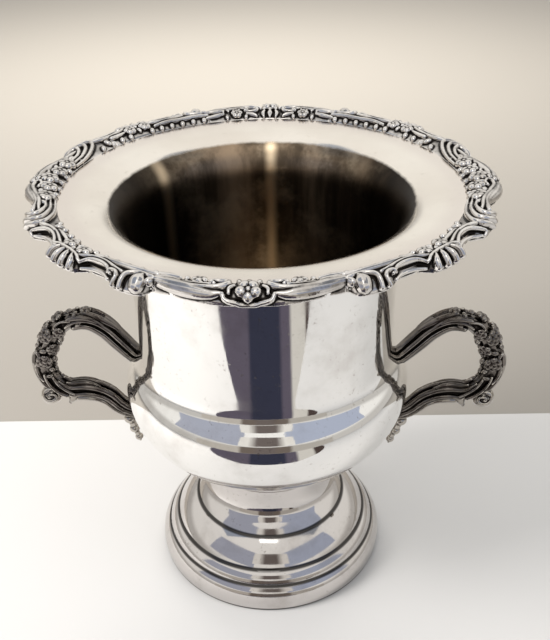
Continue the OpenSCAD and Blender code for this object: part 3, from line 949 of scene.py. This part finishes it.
def stop_at_bowl(mesh):
    """Draws in what reaches through the bowl's wall, so that the ends finish inside the metal."""
    wall = np.array([p for p in bowl_line(0) if BOWL_BOTTOM_Z < p[1] < NECK_Z])
    co = vertex_places(mesh)
    r = np.hypot(co[:, 0], co[:, 1])
    least = (np.interp(co[:, 2] / MM, wall[:, 1], wall[:, 0]) - WALL / 2) * MM
    co[:, :2] *= np.maximum(1, least / r)[:, None]
    mesh.vertices.foreach_set("co", co.ravel())
    mesh.update()


def mark_polish(mesh):
    """Marks what hands and cloths keep bright: the ball, the beads and the plain rolled faces."""
    co = vertex_places(mesh) / MM
    flat = co[:, (0, 2)]
    nearest = np.argmin(((flat[:, None] - LINE[None, ::2, :2]) ** 2).sum(2), 1) * 2
    step = nearest / LINE_STEPS
    slope = unit(np.gradient(LINE[:, :2], axis=0))[nearest]
    away = flat - LINE[nearest, :2]
    up = (away[:, 1] * slope[:, 0] - away[:, 0] * slope[:, 1]) / LINE[nearest, 2]
    degrees = np.degrees(np.abs(np.arctan2(co[:, 1] / LINE[nearest, 3], up)))
    ball = np.hypot(np.hypot(co[:, 0] - BALL_AT[0], co[:, 2] - BALL_AT[1]), co[:, 1]) < BALL_R + 1.2
    beads = (co[:, 2] < 101.5) & (co[:, 0] > 80)
    outer_roll = (step > 8.4) & (step < 10.8) & (degrees < 36)
    lower_roll = (step > 11.2) & (step < 16.5) & (degrees < 50)
    upper_roll = (step < 5) & (degrees > 134)
    shine = 0.5 * (ball | beads) + 0.3 * ((outer_roll | lower_roll | upper_roll) & ~ball & ~beads)
    shine = relax(np.repeat(shine[:, None], 3, 1), edge_ends(mesh), 3)[:, 0]
    mesh.attributes.new("polish", "FLOAT", "POINT").data.foreach_set("value", shine.astype(np.float32))


def make_handles(finish):
    clay = Clay()
    for model in (handle_base, upper_arm, grip, lower_arm, handle_ball, handle_beads):
        model(clay)
    right = clay.cast("handle_right", HANDLE_VOXEL)
    right.materials.append(finish)
    mark_polish(right)
    left = mirrored(right, "handle_left", True, True)
    lean = Matrix.Identity(4)
    lean[0][2] = LEAN
    lean[0][3] = -LEAN * LEAN_Z * MM
    for mesh, side in ((right, "right"), (left, "left")):
        mesh.transform(lean)
        stop_at_bowl(mesh)
        add_object("cast_handle_" + side, mesh, "handle_" + side)


# ---- finishes

class Paint:
    """Short calls for building the nodes of a material or the world."""

    def __init__(self, material):
        self.material = material
        self.tree = material.node_tree
        self.shader = self.tree.nodes.get("Principled BSDF")
        self.coords = self.node("ShaderNodeTexCoord")
        self.place = self.coords.outputs["Object"]

    def node(self, kind, values=(), **settings):
        """A node with its settings, and values or links for some of its inputs."""
        made = self.tree.nodes.new(kind)
        for key, value in settings.items():
            setattr(made, key, value)
        for key, value in dict(values).items():
            self.put(made.inputs[key], value)
        return made

    def put(self, socket, value):
        """Links a socket, or sets a number or colour on it."""
        if isinstance(value, bpy.types.NodeSocket):
            self.tree.links.new(value, socket)
        elif isinstance(value, tuple) and len(value) == 3 and socket.type == "RGBA":
            socket.default_value = (*value, 1)
        else:
            socket.default_value = value

    def noise(self, scale, detail=4, rough=0.55, stretch=(1, 1, 1)):
        """Noise of a number of cells to the metre."""
        shape = self.node("ShaderNodeMapping", {"Vector": self.place, "Scale": stretch})
        made = self.node("ShaderNodeTexNoise", {"Vector": shape.outputs[0], "Scale": scale,
                                                "Detail": detail, "Roughness": rough})
        return made.outputs["Fac"]

    def fit(self, value, low, high, to_low=0.0, to_high=1.0, kind="SMOOTHSTEP"):
        reach = {"Value": value, "From Min": low, "From Max": high, "To Min": to_low, "To Max": to_high}
        return self.node("ShaderNodeMapRange", reach, interpolation_type=kind).outputs["Result"]

    def math(self, kind, a, b=0.0, c=0.0):
        return self.node("ShaderNodeMath", enumerate((a, b, c)), operation=kind).outputs[0]

    def times(self, a, b):
        return self.math("MULTIPLY", a, b)

    def plus(self, a, b):
        return self.math("ADD", a, b)

    def minus(self, a, b):
        return self.math("SUBTRACT", a, b)

    def mix(self, share, a, b):
        ends = {"Factor": share, "A": a, "B": b}
        return self.node("ShaderNodeMix", ends, data_type="RGBA").outputs["Result"]

    def axis(self, name):
        return self.node("ShaderNodeSeparateXYZ", {"Vector": self.place}).outputs[name]

    def ramp(self, value, stops):
        """A colour that follows value through stops of (place, colour)."""
        made = self.node("ShaderNodeValToRGB", {"Fac": value})
        elements = made.color_ramp.elements
        elements.remove(elements[1])
        elements[0].position = stops[0][0]
        elements[0].color = (*stops[0][1], 1)
        for place, colour in stops[1:]:
            elements.new(place).color = (*colour, 1)
        return made.outputs["Color"]

    def radius(self):
        """Distance from the bucket's axis in metres."""
        x = self.axis("X")
        y = self.axis("Y")
        return self.math("SQRT", self.plus(self.times(x, x), self.times(y, y)))

    def attribute(self, name):
        return self.node("ShaderNodeAttribute", attribute_name=name).outputs["Fac"]

    def bump(self, height, strength, distance):
        made = self.node("ShaderNodeBump", {"Height": height, "Strength": strength, "Distance": distance})
        self.put(self.shader.inputs["Normal"], made.outputs[0])

    def finish(self, colour, roughness):
        self.put(self.shader.inputs["Base Color"], colour)
        self.put(self.shader.inputs["Roughness"], roughness)
        return self.material


def metal(name):
    return Paint(principled(name, (0.8, 0.8, 0.8), 1, 0.5))


def polished_silver(name, clean, dull, haze, grooves=()):
    """Mirror polish with cloudy tarnish, small dark specks, wipe marks and blackened grooves."""
    p = metal(name)
    clouds = p.fit(p.noise(26, 6, 0.62), 0.46, 0.72)
    specks = p.fit(p.noise(420, 3, 0.6), 0.58, 0.7)
    patch = p.fit(p.noise(60, 4, 0.6), 0.44, 0.66)
    stain = p.times(specks, patch)
    tarnish = p.math("MAXIMUM", p.times(clouds, 0.4), p.times(stain, 0.7))
    colour = p.mix(tarnish, clean, dull)
    for z, reach in grooves:
        away = p.math("ABSOLUTE", p.minus(p.axis("Z"), z * MM))
        colour = p.mix(p.fit(away, reach * 0.35 * MM, reach * MM, 0.93, 0), colour, (0.02, 0.018, 0.016))
    rough = p.plus(p.fit(p.noise(90, 4), 0.3, 0.8, 0.03, 0.03 + haze), p.times(tarnish, 0.25))
    p.bump(p.noise(900, 2, 0.5, (1, 1, 0.06)), 0.02, 0.0002)
    return p.finish(colour, rough)


def lined_silver():
    """The top of the rim, worn to a warm satin with a painted reflection band, and the inside below the lip:
    tarnish with painted shade and painted reflections.
    """
    p = metal("rim_and_lining")
    height = p.axis("Z")
    ragged = p.times(p.minus(p.noise(150, 3), 0.5), 0.0012)
    # Below the lip the inside is painted dark: partly tarnish, partly painted shade for the dark that the
    # inside reflects.
    depth = p.fit(p.plus(height, ragged), 0.2562, 0.2578, 1, 0)
    cloud = p.noise(14, 4, 0.5)
    rim = p.mix(p.fit(cloud, 0.35, 0.7), (0.96, 0.91, 0.83), (0.86, 0.80, 0.72))
    rim = p.mix(p.fit(p.noise(260, 3, 0.6), 0.62, 0.76, 0, 0.3), rim, (0.62, 0.55, 0.45))
    # Painted reflection: the outer part of the rim is painted a darker pinkish grey, in place of a soft
    # reflection.
    rim = p.mix(p.fit(p.radius(), 0.098, 0.109, 0, 0.55), rim, (0.80, 0.73, 0.68))
    # Streaky and cloudy warm brown over the dark lining: partly tarnish, partly painted reflection.
    streak = p.noise(34, 5, 0.6, (1, 1, 0.1))
    dark = p.mix(p.fit(streak, 0.4, 0.66), (0.12, 0.09, 0.062), (0.42, 0.31, 0.21))
    dark = p.mix(p.fit(p.noise(24, 5, 0.65), 0.46, 0.7, 0, 0.85), dark, (0.62, 0.50, 0.36))
    # Painted shade: the inside turns near black towards the left and right, in place of the dark those sides
    # reflect.
    sideways = p.math("DIVIDE", p.axis("X"), p.radius())
    edge = p.fit(p.math("ABSOLUTE", sideways), 0.45, 0.95, 0, 0.94)
    dark = p.mix(edge, dark, (0.008, 0.006, 0.005))
    # Painted reflections: two warm bright vertical streaks on the back half of the inside, one near the
    # middle and one to the left.
    behind = p.math("GREATER_THAN", p.axis("Y"), 0.0)
    for lean, wide, strong in ((0.02, 0.07, 0.95), (-0.80, 0.05, 0.5)):
        across = p.math("ABSOLUTE", p.minus(sideways, lean))
        band = p.times(p.fit(across, 0, wide, strong, 0), behind)
        band = p.times(band, p.fit(height, 0.125, 0.15))
        dark = p.mix(band, dark, (0.98, 0.78, 0.54))
    # Painted reflection: a warm bright streak across the bottom of the bowl.
    painted_bottom_streak = p.fit(p.math("ABSOLUTE", p.minus(p.axis("X"), 0.002)), 0, 0.011, 0.9, 0)
    dark = p.mix(p.times(painted_bottom_streak, p.fit(height, 0.16, 0.175, 1, 0)), dark, (1.0, 0.84, 0.62))
    colour = p.mix(depth, rim, dark)
    rim_rough = p.fit(p.noise(120, 3), 0.3, 0.75, 0.14, 0.2)
    lining_rough = p.fit(streak, 0.3, 0.7, 0.28, 0.4)
    mixed = p.plus(p.times(rim_rough, p.minus(1.0, depth)), p.times(lining_rough, depth))
    p.bump(p.noise(500, 2), 0.02, 0.0001)
    return p.finish(colour, mixed)


def cast_silver(name, edge, face, worn_colour, sharp, black):
    """Cast silver: bright along its raised edges and polished parts, as wear and as painted highlight, and
    blackened in the recesses, as oxide and as painted shade.
    """
    p = metal(name)
    recess = p.attribute("recess")
    grain = p.times(p.minus(p.noise(300, 4), 0.5), 0.1)
    level = p.plus(recess, grain)
    # Oxide and painted shade: the recesses turn near black.
    low = p.fit(level, black - 0.07, black + 0.07)
    # Wear and painted highlight: the raised edges and polished parts take the bright edge colour.
    high = p.fit(level, -0.34, sharp, 1, 0)
    high = p.math("MAXIMUM", high, p.attribute("polish"))
    worn = p.fit(p.noise(70, 4), 0.35, 0.75)
    colour = p.mix(high, p.mix(worn, face, worn_colour), edge)
    colour = p.mix(low, colour, (0.018, 0.015, 0.013))
    rough = p.plus(p.fit(worn, 0, 1, 0.07, 0.14), p.times(low, 0.3))
    p.bump(p.noise(700, 3), 0.04, 0.0003)
    return p.finish(colour, rough)


def bare_brass():
    """Dull brass of the parts inside the foot."""
    p = metal("bare_brass")
    dull = p.fit(p.noise(110, 5), 0.35, 0.7)
    colour = p.mix(dull, (0.72, 0.52, 0.24), (0.40, 0.28, 0.13))
    rough = p.fit(dull, 0, 1, 0.28, 0.45)
    p.bump(p.noise(800, 3), 0.08, 0.0003)
    return p.finish(colour, rough)


make_camera()
make_studio()
silver = polished_silver("polished_silver", (0.94, 0.93, 0.91), (0.50, 0.46, 0.42), 0.04)
# A darker copy of the polished silver: painted shade for the darker surroundings the foot reflects. Its
# grooves are blackened, and it is darker along its bottom edge.
shaded_foot_silver = polished_silver("shaded_foot_silver", (0.68, 0.65, 0.63), (0.34, 0.31, 0.285), 0.08,
                              [(z, 1.3) for _, z in GROOVES] + [(FOOT_EDGE_Z, 1.2)])
lining = lined_silver()
border = cast_silver("border_silver", (0.97, 0.95, 0.92), (0.76, 0.73, 0.70), (0.50, 0.47, 0.44), -0.04, 0.0)
old = cast_silver("handle_silver", (0.84, 0.79, 0.71), (0.19, 0.17, 0.155), (0.09, 0.08, 0.07), -0.08, 0.03)
brass = bare_brass()
for name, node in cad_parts.items():
    node.data.materials.clear()
    hidden = name in ("bowl_boss", "foot_plate", "foot_stud", "foot_washer", "foot_nut")
    node.data.materials.append(brass if hidden else shaded_foot_silver)
make_bowl(silver, lining)
make_foot(shaded_foot_silver)
make_collar(shaded_foot_silver)
make_border(border)
make_handles(old)
